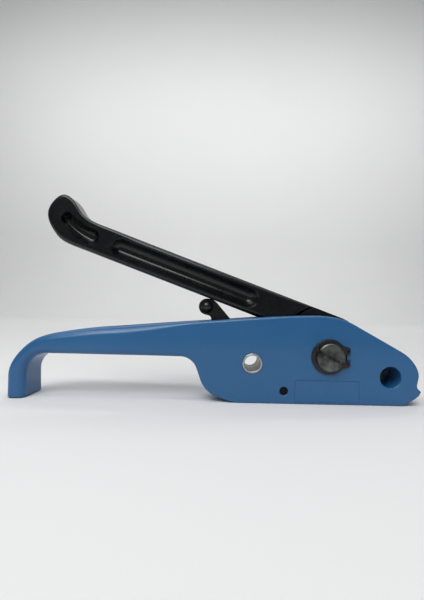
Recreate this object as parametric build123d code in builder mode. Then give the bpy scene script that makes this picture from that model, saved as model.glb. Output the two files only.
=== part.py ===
from build123d import *

import os
from math import acos, atan2, cos, degrees, radians, sin, sqrt

# Windlass strapping tensioner: a hand tool that pulls strap tight round a load.
#
# The frame is one casting with a fixed rear handle.  A pump lever turns a slotted windlass through a drive pawl
# and a ratchet wheel, a holding pawl keeps what was gained, a release lever lifts that pawl, and a toothed
# gripper clamps the strap's tail on the foot.
#
# Millimetres.  +X points to the nose, +Y away from the side that faces the user, +Z up.  The origin lies on the
# base, straight under the windlass axis and midway between the cheeks.  Angles round the windlass are as the near
# side shows them: 0 to the nose, 90 up.

os.makedirs("parts", exist_ok=True)

# ---- frame ---------------------------------------------------------------------------------------------
cheek_half = 17.0  # from the middle plane to a cheek's outer face
slot_half = 10.0  # from the middle plane to the lever slot's wall
axis_z = 38.0  # windlass axis above the base
hook_x = -256.4  # outer face of the handle's hook
hook_thickness = 13.4
hook_inner_r = 16.0
grip_underside = 35.8
shoulder_x = -119.0  # where the grip's underside starts to curve down
shoulder_r = 14.0
shoulder_lean = 20.0  # the shoulder leans this far from upright
shoulder_drop = 10.0
nose_x = 73.2  # tip of the lip at the nose
foot_end_y = 50.0  # far edge of the foot
foot_thickness = 6.5
foot_start_x = -44.0
foot_full_x = -30.0  # where the foot's ramp reaches its full thickness
foot_stop_x = 62.0
handle_rounding = 5.0
base_start_x = -75.8  # rear end of the flat base
base_end_x = 54.8
chin_x = 65.6  # middle of the curve under the nose
chin_z = 4.4
lip_z = 12.7  # height of the nose's lip
lip_notch = 3.3  # the lip's upper side steps back by this
lip_rise = 3.9
heel_x = -92.0  # where the shoulder's curve runs out above the base
heel_z = 5.4
hook_foot_z = 1.0  # the hook's toe stands this far above the base
crest_rise = 32.6  # the casting's top above the windlass axis
channel_start_x = -203.0  # the channel in the handle's top
channel_run_in = 6.0
channel_rear_depth = 13.2  # channel floor's height above the grip's underside at its rear
channel_front_depth = 21.2  # and where it meets the slot
channel_end_x = -101.5
slot_rear_x = -76.0
slot_step_z = 33.0  # top of the slot's upright rear wall

# ---- clearances ----------------------------------------------------------------------------------------
running = 0.05  # radial gap of a shaft that turns in its hole
seated = 0.01  # radial gap of a piece that is pressed in
face_gap = 0.1  # gap between flat faces that slide on each other
free_gap = 0.3  # gap between pieces that come near and don't bear

# ---- windlass ------------------------------------------------------------------------------------------
shaft_r = 11.0
shaft_stand = 5.5  # how far the shaft stands out of the near cheek
slot_angle = -27.0  # direction of the shaft's diametral slots
strap_slot_width = 2.2
end_slot_depth = 4.0
collar_height = 4.0
collar_thickness = 2.4
bush_wall = 2.5
bush_flange_height = 2.4
bush_flange_out = 1.5  # thickness of the far bush's outer flange

# ---- retaining ring on the windlass ----------------------------------------------------------------------
ring_thickness = 1.75
ring_wall = 3.7
ring_groove_depth = 0.5
ring_gap = 3.8
ring_shift = 0.85  # the ring's outer edge is this far off centre, away from the gap
ring_lug_out = 0.9  # a lug's middle is this far out of the ring's edge, less half its size
ring_lug_size = 2.3
ring_lug_angle = 16.0
ring_hole_r = 0.9

# ---- ratchet -------------------------------------------------------------------------------------------
tooth_count = 24
tooth_tip_r = 24.0
tooth_root_r = 20.5
ratchet_half = 3.0  # half of the wheel's thickness
key_side = 5.0
shim_thickness = 0.5

# ---- pump lever, drawn at its lowest position -------------------------------------------------------------
lever_tilt = 20.0
lever_side_gap = 0.5  # between the lever's flat side and the slot's wall
lever_top = 33.2  # upper edge, above the line from the windlass axis along the lever
lever_bottom = 9.0
ear_setback = 2.3  # the ears' outer faces stand back from the lever's flat sides by this
hub_r = 33.2
hub_clearance = 1.2  # between the hub and the slot's round floor
fork_r = 36.0  # room between the ears
step_r = 40.4  # foot of the step from the ears to the lever's flat side
step_slope = 54.0
spoon_start = 205.0
spoon_tip_u = 253.8
pocket_start = 69.0
pocket_end = 195.6
pocket_margin = 4.6
pocket_depth = 5.6
pocket_slope = 30.0
spoon_pocket_start = 205.5
lever_rounding = 1.0
lever_open = 105.0  # how far the lever lifts
lever_bush_wall = 2.0

# ---- drive pawl ----------------------------------------------------------------------------------------
drive_pivot_r = 29.4  # from the windlass axis
drive_pin_r = 3.0
drive_boss_r = 5.2
drive_tooth = 9  # the tooth face that the drive pawl pushes
drive_spring_r = 1.6
drive_spring_length = 14.0

# ---- holding pawl --------------------------------------------------------------------------------------
holding_x = -36.0
holding_drop = 27.8  # below the windlass axis
holding_pin_r = 3.3
holding_boss_r = 5.6
pawl_waist = 2.0  # a pawl's wheel side stands in from its boss's edge by this
pawl_ease = 0.5  # degrees by which a pawl draws clear of its tooth face as it lifts
tail_length = 16.0
tail_thickness = 5.0
pin_recess = 1.0

# ---- release lever -------------------------------------------------------------------------------------
tube_x = -61.3
tube_drop = 6.3  # below the windlass axis
tube_r = 8.0
tube_bore_r = 6.25
tube_stand = 0.6
release_half = 3.0
release_hub_r = 11.5
release_arm_width = 14.0
release_arm_angle = 131.2
release_neck = 7.0  # width of the arm just under the head
release_neck_start = 12.0  # below the head's middle the arm starts to narrow
release_neck_end = 7.5
release_head_r = 6.8
release_head_u = 106.0  # along the pump lever, under which the head stands
release_toe_s = 20.0  # from the tube to the toe, along the line to the holding pawl's pin
release_toe_r = 3.0
release_toe_width = 6.5
cross_pin_r = 2.5
dome_r = 5.25
dome_height = 3.6

# ---- nose and gripper ----------------------------------------------------------------------------------
nose_hole_x = 48.7
nose_hole_z = 22.7
nose_hole_r = 8.4
plate_thickness = 2.5
plate_start_x = 34.0
plate_end_x = 61.0
plate_inset = 2.0  # from the far cheek to the plate's and the gripper's near edge
plate_tooth = 0.7
plate_ridge = 1.5
gripper_far_y = 42.0
gripper_hub_r = 8.0
gripper_tooth_count = 9
gripper_tooth_pitch = 7.5  # degrees
gripper_tooth_depth = 0.9
gripper_first_tooth = 240.0
gripper_rise = 0.03  # what the toothed edge gains in radius per degree behind its lowest point
gripper_relief = 0.07  # what it loses per degree ahead of it
gripper_tab_length = 24.0
gripper_tab_angle = 55.0
gripper_tab_r = 3.5
gripper_tab_root_r = 7.0  # half of the tab's width at the axle
gripper_axle_r = 5.0
axle_head_r = 6.5
axle_head_height = 2.5
axle_socket_r = 3.0  # hexagon socket, corner radius
axle_end_setback = 0.5  # from the foot's far edge to the axle's end
axle_ring_r = 8.2
axle_ring_thickness = 1.0
screw_r = 2.0
screw_head_r = 3.8
screw_head_height = 2.0
screw_spacing = 17.0

# ---- springs and sleeves -------------------------------------------------------------------------------
wire_r = 0.75
sleeve_wall = 1.2

# ---- badge field ---------------------------------------------------------------------------------------
badge_width = 51.0
badge_height = 17.0
badge_x = -1.8
badge_z = 10.6
badge_line = 0.5
badge_depth = 0.25

# ---- what follows from these sizes -----------------------------------------------------------------------
lever_half = slot_half - lever_side_gap
ear_half = lever_half - ear_setback
holding_z = axis_z - holding_drop
tube_z = axis_z - tube_drop
gripper_near_y = cheek_half + plate_inset
ring_outer_r = shaft_r + ring_wall
ring_lug_r = ring_outer_r + ring_lug_out
collar_r = shaft_r + collar_height
hub_clear_r = hub_r + hub_clearance
slot_floor = axis_z - hub_clear_r
bush_r = shaft_r + running + bush_wall
bush_flange_r = bush_r + bush_flange_height
ear_inner = ratchet_half + 2 * face_gap + shim_thickness
drum_start_y = cheek_half + bush_flange_out + face_gap
plate_top = foot_thickness + plate_thickness
tooth_pitch = 360.0 / tooth_count
pawl_tip_r = tooth_root_r + free_gap
holding_pivot_r = sqrt(holding_x ** 2 + holding_drop ** 2)
holding_pivot_angle = 360 + degrees(atan2(-holding_drop, holding_x))
holding_contact = holding_pivot_angle + degrees(acos(pawl_tip_r / holding_pivot_r)) + pawl_ease
tooth_phase = holding_contact % tooth_pitch
drive_contact = tooth_phase + drive_tooth * tooth_pitch
lever_bush_r = shaft_r + running + lever_bush_wall
pocket_low = lever_bottom + pocket_margin
pocket_high = lever_top - pocket_margin
pocket_corner_r = (pocket_high - pocket_low) / 2 - free_gap


def across(y):
    """A plane at this Y that reads X to the right and Z up; what it extrudes goes towards -Y."""
    return Plane(origin=(0, y, 0), x_dir=(1, 0, 0), z_dir=(0, -1, 0))


def along_lever(y):
    """A plane at this Y from the windlass axis, first along the lever, then across it; it extrudes to +Y."""
    direction = (-cos(radians(lever_tilt)), 0, sin(radians(lever_tilt)))
    return Plane(origin=(0, y, axis_z), x_dir=direction, z_dir=(0, 1, 0))


def lever_point(u, v):
    """X and Z of a place given along and across the lever."""
    x = -u * cos(radians(lever_tilt)) + v * sin(radians(lever_tilt))
    z = axis_z + u * sin(radians(lever_tilt)) + v * cos(radians(lever_tilt))
    return x, z


def turned(centre, radius, angle):
    """The point at this radius and angle round a centre."""
    return centre[0] + radius * cos(radians(angle)), centre[1] + radius * sin(radians(angle))


def round_windlass(radius, angle):
    """X and Z of a place at this radius and angle round the windlass."""
    return turned((0, axis_z), radius, angle)


def beyond(start, direction, distance, side=0.0):
    """The point that lies a distance along a direction, and off to its left by side."""
    return (start[0] + distance * direction[0] - side * direction[1],
            start[1] + distance * direction[1] + side * direction[0])


def save(part, label):
    part.label = label
    export_step(part, "parts/" + label + ".step")


def sleeve(x, z, outer, inner, near_y, far_y):
    """A plain ring along Y."""
    with BuildPart() as ring:
        with BuildSketch(across(far_y)):
            with Locations((x, z)):
                Circle(outer)
                Circle(inner, mode=Mode.SUBTRACT)
        extrude(amount=far_y - near_y)
    return ring.part


def rod(x, z, radius, near_y, far_y, bevel=0.4):
    """A pin along Y with a small bevel at both ends."""
    with BuildPart() as pin:
        with BuildSketch(across(far_y)):
            with Locations((x, z)):
                Circle(radius)
        extrude(amount=far_y - near_y)
        chamfer(pin.edges().filter_by(GeomType.CIRCLE), bevel)
    return pin.part


def coil(start, inner, length, legs=()):
    """A close-wound spring that grows from a plane along its normal; each leg is (turn end, angle, length)."""
    turns = int(length / (2 * wire_r))
    middle_r = inner + wire_r
    with BuildPart() as spring:
        with BuildSketch(Plane(origin=start.origin, x_dir=start.x_dir, z_dir=-start.y_dir)):
            for turn in range(turns):
                with Locations((middle_r, wire_r * (2 * turn + 1))):
                    Circle(wire_r)
            with Locations((middle_r, wire_r * turns)):
                Rectangle(wire_r, 2 * wire_r * (turns - 1))
        revolve(axis=Axis(start.origin, start.z_dir))
        for height, angle, reach in legs:
            way = start.x_dir * cos(radians(angle)) + start.y_dir * sin(radians(angle))
            out = start.x_dir * sin(radians(angle)) - start.y_dir * cos(radians(angle))
            root = start.origin + out * middle_r + start.z_dir * height - way * wire_r
            with BuildSketch(Plane(origin=root, z_dir=way)):
                Circle(wire_r - seated)
            extrude(amount=reach)
    return spring.part


def spring_seat(x, y, z):
    """The plane that a torsion spring's coil grows from, towards +Y."""
    return Plane(origin=(x, y, z), x_dir=(1, 0, 0), z_dir=(0, 1, 0))


# ---- the line of centres between the release tube and the holding pawl's pin ---------------------------
centre_span = sqrt((holding_x - tube_x) ** 2 + (holding_z - tube_z) ** 2)
to_pawl = ((holding_x - tube_x) / centre_span, (holding_z - tube_z) / centre_span)
to_tube = (-to_pawl[0], -to_pawl[1])

# ---- the release lever's arm -----------------------------------------------------------------------------
head_at = lever_point(release_head_u, lever_bottom - free_gap - release_head_r)
arm_way = (cos(radians(release_arm_angle)), sin(radians(release_arm_angle)))
head_s = (head_at[0] - tube_x) * arm_way[0] + (head_at[1] - tube_z) * arm_way[1]
head_side = (head_at[1] - tube_z) * arm_way[0] - (head_at[0] - tube_x) * arm_way[1]


def frame_outline():
    """The casting's side view as a closed run, clockwise from the base's rear end."""
    hook_in = hook_x + hook_thickness
    crest_z = axis_z + crest_rise
    base = Line((base_start_x, 0), (base_end_x, 0))
    chin = ThreePointArc(base @ 1, (chin_x, chin_z), (nose_x, lip_z))
    notch = Line(chin @ 1, (nose_x - lip_notch, lip_z + lip_rise))
    nose = Spline(notch @ 1, (nose_x - 1.6, 22.7), (nose_x - 4.6, 31.6), (nose_x - 10.9, 39.6),
                  (nose_x - 17.7, 44.2), tangents=((0.3, 1), (-0.87, 0.48)))
    slope = Line(nose @ 1, (19.5, crest_z - 6.6))
    crest = ThreePointArc(slope @ 1, (6.0, crest_z - 1.6), (-10.0, crest_z))
    grip_z = grip_underside + 23.8
    back = Spline(crest @ 1, (-93.0, (crest_z + grip_z) / 2), (-160.8, grip_z),
                  (hook_x + 50.4, grip_underside + 19.8), tangents=((-1, -0.03), (-1, -0.12)))
    bend = Spline(back @ 1, (hook_x + 20.4, grip_underside + 11.8), (hook_x + 4.8, grip_underside - 1.3),
                  (hook_x, grip_underside - 17.8), tangents=((-1, -0.12), (0, -1)))
    leg = Line(bend @ 1, (hook_x, hook_foot_z))
    toe = Line(leg @ 1, (hook_in, hook_foot_z))
    inner = Line(toe @ 1, (hook_in, grip_underside - hook_inner_r))
    inner_centre = (hook_in + hook_inner_r, grip_underside - hook_inner_r)
    inner_bend = ThreePointArc(inner @ 1, turned(inner_centre, hook_inner_r, 135),
                               (inner_centre[0], grip_underside))
    under = Line(inner_bend @ 1, (shoulder_x, grip_underside))
    shoulder_centre = (shoulder_x, grip_underside - shoulder_r)
    armpit = ThreePointArc(under @ 1, turned(shoulder_centre, shoulder_r, (90 + shoulder_lean) / 2),
                           turned(shoulder_centre, shoulder_r, shoulder_lean))
    drop = Line(armpit @ 1, (armpit @ 1) + (armpit % 1) * shoulder_drop)
    heel = TangentArc(drop @ 1, (heel_x, heel_z), tangent=drop % 1)
    Line(heel @ 1, (base_start_x, 0))


def slot_outline():
    """The side view of the room between the cheeks, open at the top."""
    open_angle = radians(180 - lever_tilt - lever_open)
    open_way = (cos(open_angle), sin(open_angle))
    sweep_foot = beyond((0, axis_z), open_way, 0, -hub_clear_r)
    sweep_top = beyond((0, axis_z), open_way, 2 * hub_r, -hub_clear_r)
    above = 3 * axis_z
    Polyline((channel_start_x, above),
             (channel_start_x + channel_run_in, grip_underside + channel_rear_depth),
             (channel_end_x, grip_underside + channel_front_depth), (slot_rear_x, slot_step_z),
             (slot_rear_x, slot_floor), (0, slot_floor), sweep_foot, sweep_top,
             (sweep_top[0], above), close=True)


def make_frame():
    with BuildPart() as frame:
        with BuildSketch(across(-cheek_half)):
            with BuildLine():
                frame_outline()
            make_face()
        extrude(amount=-2 * cheek_half)
        # the handle is rounded for the hand, the rest of the casting only has its edges broken
        outer_edges = frame.faces().filter_by(Axis.Y).edges()
        handle_edges = outer_edges.filter_by(lambda edge: edge.center().X < -100 and edge.center().Z > 2)
        fillet(handle_edges, handle_rounding)
        # foot on the far side
        with BuildSketch(across(foot_end_y)):
            Polygon((foot_start_x, 0), (54.8, 0), (foot_stop_x, 3), (foot_stop_x, foot_thickness),
                    (foot_full_x, foot_thickness), align=None)
        extrude(amount=foot_end_y - cheek_half)
        # room for the pump lever and the pawls
        with BuildSketch(across(slot_half)):
            with BuildLine():
                slot_outline()
            make_face()
            with Locations((0, axis_z)):
                Circle(hub_clear_r)
        extrude(amount=2 * slot_half, mode=Mode.SUBTRACT)
        # bores through both cheeks
        with BuildSketch(across(cheek_half)):
            with Locations((0, axis_z)):
                Circle(bush_r + seated)
            with Locations((tube_x, tube_z)):
                Circle(tube_r + seated)
            with Locations((holding_x, holding_z)):
                Circle(holding_pin_r + seated)
            with Locations((nose_hole_x, nose_hole_z)):
                Circle(gripper_axle_r + seated)
        extrude(amount=2 * cheek_half, mode=Mode.SUBTRACT)
        # the nose hole runs from the near side to the recess that holds the gripper axle's head
        with BuildSketch(across(slot_half)):
            with Locations((nose_hole_x, nose_hole_z)):
                Circle(axle_head_r + seated)
        extrude(amount=axle_head_height, mode=Mode.SUBTRACT)
        with BuildSketch(across(slot_half - axle_head_height)):
            with Locations((nose_hole_x, nose_hole_z)):
                Circle(nose_hole_r)
        extrude(amount=cheek_half + slot_half - axle_head_height, mode=Mode.SUBTRACT)
        # two countersunk holes that hold the gripping plate from below
        with Locations(*[Location((x, y, 0), (180, 0, 0)) for x, y in screw_places()]):
            CounterSinkHole(screw_r + running, screw_head_r + free_gap, foot_thickness)
        # the bare field's border line
        with BuildSketch(across(-cheek_half + badge_depth)):
            with Locations((badge_x, badge_z)):
                Rectangle(badge_width, badge_height)
                Rectangle(badge_width - 2 * badge_line, badge_height - 2 * badge_line, mode=Mode.SUBTRACT)
        extrude(amount=badge_depth, mode=Mode.SUBTRACT)
    return frame.part


def screw_places():
    """X and Y of the gripping plate's screws."""
    middle_x = (plate_start_x + plate_end_x) / 2
    middle_y = (gripper_near_y + gripper_far_y) / 2
    return [(middle_x - screw_spacing / 2, middle_y), (middle_x + screw_spacing / 2, middle_y)]


def make_bush(flange_start, flange_end, body_end):
    """A bush whose flange lies between two Y values and whose body goes on to a third."""
    low, high = min(flange_start, body_end), max(flange_end, body_end)
    with BuildPart() as bush:
        with BuildSketch(across(flange_end)):
            with Locations((0, axis_z)):
                Circle(bush_flange_r)
        extrude(amount=flange_end - flange_start)
        with BuildSketch(across(high)):
            with Locations((0, axis_z)):
                Circle(bush_r)
        extrude(amount=high - low)
        with BuildSketch(across(high)):
            with Locations((0, axis_z)):
                Circle(shaft_r + running)
        extrude(amount=high - low, mode=Mode.SUBTRACT)
    return bush.part


def make_windlass_shaft():
    near_end = -cheek_half - shaft_stand
    groove_far = -cheek_half - face_gap / 2
    groove_near = groove_far - ring_thickness - face_gap
    with BuildPart() as shaft:
        with BuildSketch(across(foot_end_y)):
            with Locations((0, axis_z)):
                Circle(shaft_r)
        extrude(amount=foot_end_y - near_end)
        chamfer(shaft.edges().filter_by(GeomType.CIRCLE), 0.8)
        with BuildSketch(across(drum_start_y + collar_thickness)):
            with Locations((0, axis_z)):
                Circle(collar_r)
        extrude(amount=collar_thickness)
        with BuildSketch(across(groove_far)):
            with Locations((0, axis_z)):
                Circle(shaft_r + 1)
                Circle(shaft_r - ring_groove_depth, mode=Mode.SUBTRACT)
        extrude(amount=groove_far - groove_near, mode=Mode.SUBTRACT)
        # slot for the strap, open at the far end
        with BuildSketch(across(foot_end_y)):
            with Locations((0, axis_z)):
                Rectangle(2 * collar_r, strap_slot_width, rotation=slot_angle)
        extrude(amount=foot_end_y - drum_start_y - collar_thickness - 1, mode=Mode.SUBTRACT)
        with BuildSketch(across(near_end + end_slot_depth)):
            with Locations((0, axis_z)):
                Rectangle(2 * collar_r, strap_slot_width, rotation=slot_angle)
        extrude(amount=end_slot_depth, mode=Mode.SUBTRACT)
        # keyway under the ratchet wheel
        with BuildSketch(across(ratchet_half)):
            with Locations((0, axis_z + shaft_r)):
                Rectangle(key_side + 2 * seated, key_side + 2 * seated)
        extrude(amount=2 * ratchet_half, mode=Mode.SUBTRACT)
    return shaft.part


def make_ratchet_wheel():
    points = []
    for tooth in range(tooth_count):
        angle = radians(tooth_phase + tooth * tooth_pitch)
        points.append((tooth_root_r * cos(angle), tooth_root_r * sin(angle)))
        points.append((tooth_tip_r * cos(angle), tooth_tip_r * sin(angle)))
    with BuildPart() as wheel:
        with BuildSketch(across(ratchet_half)):
            with Locations((0, axis_z)):
                Polygon(*points, align=None)
                Circle(shaft_r + seated, mode=Mode.SUBTRACT)
            with Locations((0, axis_z + shaft_r)):
                Rectangle(key_side + 2 * seated, key_side + 2 * seated, mode=Mode.SUBTRACT)
        extrude(amount=2 * ratchet_half)
    return wheel.part


def make_ratchet_key():
    with BuildPart() as key:
        with BuildSketch(across(ratchet_half)):
            with Locations((0, axis_z + shaft_r)):
                Rectangle(key_side, key_side)
        extrude(amount=2 * ratchet_half)
    return key.part


def make_circlip():
    far_y = -cheek_half - face_gap
    with BuildPart() as ring:
        with BuildSketch(across(far_y)):
            with Locations((-ring_shift, axis_z)):
                Circle(ring_outer_r - ring_shift)
            for side in (-1, 1):
                with Locations(round_windlass(ring_lug_r - ring_lug_size / 2, side * ring_lug_angle)):
                    Circle(ring_lug_size)
            with Locations((0, axis_z)):
                Circle(shaft_r - ring_groove_depth + seated, mode=Mode.SUBTRACT)
            with Locations((ring_outer_r, axis_z)):
                Rectangle(ring_outer_r, ring_gap, mode=Mode.SUBTRACT)
            for side in (-1, 1):
                with Locations(round_windlass(ring_lug_r - ring_lug_size / 2, side * ring_lug_angle)):
                    Circle(ring_hole_r, mode=Mode.SUBTRACT)
        extrude(amount=ring_thickness)
    return ring.part


def lever_outline():
    """The pump lever's side view, along and across the lever."""
    top = Line((0, lever_top), (spoon_start, lever_top))
    rise = Spline(top @ 1, (224.0, 36.2), (233.5, 40.2), (240.0, 45.0), tangents=((1, 0), (0.72, 0.69)))
    tip = ThreePointArc(rise @ 1, (246.8, 46.4), (250.8, 41.0))
    outer = Spline(tip @ 1, (spoon_tip_u, 28.0), (248.4, 18.4), (236.0, 10.6), (220.0, lever_bottom),
                   tangents=((0.35, -0.94), (-1, 0)))
    bottom = Line(outer @ 1, (0, lever_bottom))
    Line(bottom @ 1, (0, lever_top))


def make_pump_lever():
    lever_bush_seat = lever_bush_r + seated
    with BuildPart() as lever:
        with BuildSketch(along_lever(-lever_half)):
            with BuildLine():
                lever_outline()
            make_face()
        extrude(amount=2 * lever_half)
        long_edges = lever.faces().filter_by(Axis.Y).edges().filter_by(lambda edge: lever_along(edge) > 1)
        fillet(long_edges, lever_rounding)
        with BuildSketch(along_lever(-lever_half)):
            Circle(hub_r)
        extrude(amount=2 * lever_half)
        # the ears stand back from the lever's flat sides, behind a sloped round step
        for side in (-1, 1):
            face = along_lever(side * ear_half)
            with BuildSketch(face):
                Circle(step_r)
            extrude(amount=side * (lever_half - ear_half + 1), taper=-step_slope, mode=Mode.SUBTRACT)
        # room for the wheel and the pawls between the ears
        with BuildSketch(along_lever(-ear_inner)):
            Circle(fork_r)
        extrude(amount=2 * ear_inner, mode=Mode.SUBTRACT)
        with BuildSketch(along_lever(-lever_half)):
            Circle(lever_bush_seat)
        extrude(amount=2 * lever_half, mode=Mode.SUBTRACT)
        with BuildSketch(across(lever_half)):
            with Locations(drive_pivot()):
                Circle(drive_pin_r + seated)
        extrude(amount=2 * lever_half, mode=Mode.SUBTRACT)
        # long pocket and spoon pocket, both sides
        for side in (-1, 1):
            with BuildSketch(along_lever(side * lever_half)):
                with Locations(((pocket_start + pocket_end) / 2, (pocket_low + pocket_high) / 2)):
                    RectangleRounded(pocket_end - pocket_start, pocket_high - pocket_low, pocket_corner_r)
            extrude(amount=-side * pocket_depth, taper=pocket_slope, mode=Mode.SUBTRACT)
            with BuildSketch(along_lever(side * lever_half)):
                with BuildLine():
                    spoon_pocket_outline()
                make_face()
            extrude(amount=-side * pocket_depth, mode=Mode.SUBTRACT)
        # blind hole that holds the drive pawl's spring
        with BuildSketch(drive_spring_plane()):
            Circle(drive_spring_r + wire_r + free_gap)
        extrude(amount=drive_spring_length + face_gap, mode=Mode.SUBTRACT)
    return lever.part


def lever_along(edge):
    """How far along the lever an edge's middle lies."""
    middle = edge.center()
    return -middle.X * cos(radians(lever_tilt)) + (middle.Z - axis_z) * sin(radians(lever_tilt))


def spoon_pocket_outline():
    """The short pocket that follows the spoon's curve."""
    floor = Line((spoon_pocket_start, pocket_low), (222.0, pocket_low + 0.2))
    belly = Spline(floor @ 1, (236.0, 15.4), (247.0, 28.5), tangents=((1, 0), (0.1, 1)))
    crown = ThreePointArc(belly @ 1, (246.0, 33.5), (241.5, 33.8))
    brow = Spline(crown @ 1, (232.0, 30.6), (220.0, pocket_high), tangents=((-0.7, -0.7), (-1, -0.1)))
    roof = Line(brow @ 1, (spoon_pocket_start, pocket_high))
    Line(roof @ 1, floor @ 0)


def make_lever_bushes():
    """Two bushes, one in each ear."""
    with BuildPart() as bushes:
        for near_y in (-ear_half, ear_inner):
            add(sleeve(0, axis_z, lever_bush_r, shaft_r + running, near_y, near_y + ear_half - ear_inner))
    return bushes.part


def make_ratchet_shims():
    """Two thin rings that keep the wheel between the ears."""
    with BuildPart() as shims:
        for near_y in (-ratchet_half - face_gap - shim_thickness, ratchet_half + face_gap):
            add(sleeve(0, axis_z, lever_bush_r, shaft_r + running, near_y, near_y + shim_thickness))
    return shims.part


def pawl_outline(pivot, boss_r, contact):
    """A pawl whose tip stands in a tooth gap, square to the steep face at the contact angle."""
    behind = contact - degrees(face_gap / 2 / tooth_root_r)
    tip_inner = round_windlass(pawl_tip_r, behind)
    tip_outer = round_windlass(tooth_tip_r + 2, behind)
    heel = round_windlass(tooth_tip_r + 2 * free_gap, contact - tooth_pitch)
    span = sqrt((tip_inner[0] - pivot[0]) ** 2 + (tip_inner[1] - pivot[1]) ** 2)
    way = ((tip_inner[0] - pivot[0]) / span, (tip_inner[1] - pivot[1]) / span)
    Polyline(tip_inner, tip_outer, beyond(pivot, way, 0, -boss_r), beyond(pivot, way, 0, boss_r - pawl_waist),
             heel, close=True)


def drive_pivot():
    """Stands so that the pawl's tip lifts straight out along its tooth face."""
    way_angle = drive_contact - 90 - pawl_ease
    way = (cos(radians(way_angle)), sin(radians(way_angle)))
    reach = sqrt(drive_pivot_r ** 2 - pawl_tip_r ** 2)
    return beyond(round_windlass(pawl_tip_r, drive_contact), way, reach)


def make_drive_pawl():
    with BuildPart() as pawl:
        with BuildSketch(across(ratchet_half)):
            with BuildLine():
                pawl_outline(drive_pivot(), drive_boss_r, drive_contact)
            make_face()
            with Locations(drive_pivot()):
                Circle(drive_boss_r)
                Circle(drive_pin_r + running, mode=Mode.SUBTRACT)
        extrude(amount=2 * ratchet_half)
    return pawl.part


def drive_spring_plane():
    """Stands on the middle of the drive pawl's back and points away from the wheel."""
    pivot = drive_pivot()
    tip = round_windlass(tooth_tip_r + 2, drive_contact)
    span = sqrt((tip[0] - pivot[0]) ** 2 + (tip[1] - pivot[1]) ** 2)
    way = ((tip[0] - pivot[0]) / span, (tip[1] - pivot[1]) / span)
    seat = beyond(pivot, way, span / 2, -drive_boss_r / 2 - free_gap - 1.2)
    return Plane(origin=(seat[0], 0, seat[1]), x_dir=(0, 1, 0), z_dir=(way[1], 0, -way[0]))


def make_holding_pawl():
    pivot = (holding_x, holding_z)
    with BuildPart() as pawl:
        with BuildSketch(across(ratchet_half)):
            with BuildLine():
                pawl_outline(pivot, holding_boss_r, holding_contact)
            make_face()
            Polygon(pivot, beyond(pivot, to_tube, tail_length),
                    beyond(pivot, to_tube, tail_length, -tail_thickness),
                    beyond(pivot, to_tube, 0, -tail_thickness), align=None)
            with Locations(pivot):
                Circle(holding_boss_r)
                Circle(holding_pin_r + running, mode=Mode.SUBTRACT)
        extrude(amount=2 * ratchet_half)
    return pawl.part


def make_release_lever():
    tube_at = (tube_x, tube_z)
    right = -head_side - release_head_r
    left = right + release_arm_width
    neck_left = right + release_head_r + release_neck / 2
    with BuildPart() as lever:
        with BuildSketch(across(release_half)) as side_view:
            Polygon(beyond(tube_at, arm_way, 0, right), beyond(tube_at, arm_way, head_s, right),
                    beyond(tube_at, arm_way, head_s, neck_left),
                    beyond(tube_at, arm_way, head_s - release_neck_end, neck_left),
                    beyond(tube_at, arm_way, head_s - release_neck_start, left),
                    beyond(tube_at, arm_way, 0, left), align=None)
            Polygon(beyond(tube_at, to_pawl, 0, -free_gap),
                    beyond(tube_at, to_pawl, release_toe_s, -free_gap),
                    beyond(tube_at, to_pawl, release_toe_s, -free_gap - 2 * release_toe_r),
                    beyond(tube_at, to_pawl, 0, -release_toe_width), align=None)
            with Locations(beyond(tube_at, to_pawl, release_toe_s, -free_gap - release_toe_r)):
                Circle(release_toe_r)
            with Locations(head_at):
                Circle(release_head_r)
                Circle(cross_pin_r + seated, mode=Mode.SUBTRACT)
            with Locations(tube_at):
                Circle(release_hub_r)
                Circle(tube_r + running, mode=Mode.SUBTRACT)
        extrude(amount=2 * release_half)
    return lever.part


def make_release_cross_pin():
    """A pin through the release lever's head, with a dome on each side."""
    dome_radius = (dome_r ** 2 + dome_height ** 2) / (2 * dome_height)
    rise = sqrt(2) / 2
    with BuildPart() as pin:
        with BuildSketch(Plane(origin=(head_at[0], 0, head_at[1]), x_dir=(1, 0, 0), z_dir=(0, 0, 1))):
            Rectangle(cross_pin_r, 2 * release_half, align=(Align.MIN, Align.CENTER))
            for side in (-1, 1):
                foot = side * release_half
                centre = foot + side * (dome_height - dome_radius)
                with BuildLine():
                    middle = (dome_radius * rise, centre + side * dome_radius * rise)
                    arc = ThreePointArc((dome_r, foot), middle, (0, foot + side * dome_height))
                    Polyline(arc @ 1, (0, foot), arc @ 0)
                make_face()
        revolve(axis=Axis((head_at[0], 0, head_at[1]), (0, 1, 0)))
    return pin.part


def make_release_tube():
    end = cheek_half + tube_stand
    with BuildPart() as rivet:
        add(sleeve(tube_x, tube_z, tube_r, tube_bore_r, -end, end))
        fillet(rivet.edges().filter_by(GeomType.CIRCLE), (tube_r - tube_bore_r) * 0.3)
    return rivet.part


def gripper_radius(angle):
    """Radius of the toothed edge at this angle round the gripper's axle."""
    lowest = nose_hole_z - plate_top - free_gap
    rate = gripper_relief if angle > 270 else gripper_rise
    return lowest - rate * (angle - 270)


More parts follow.
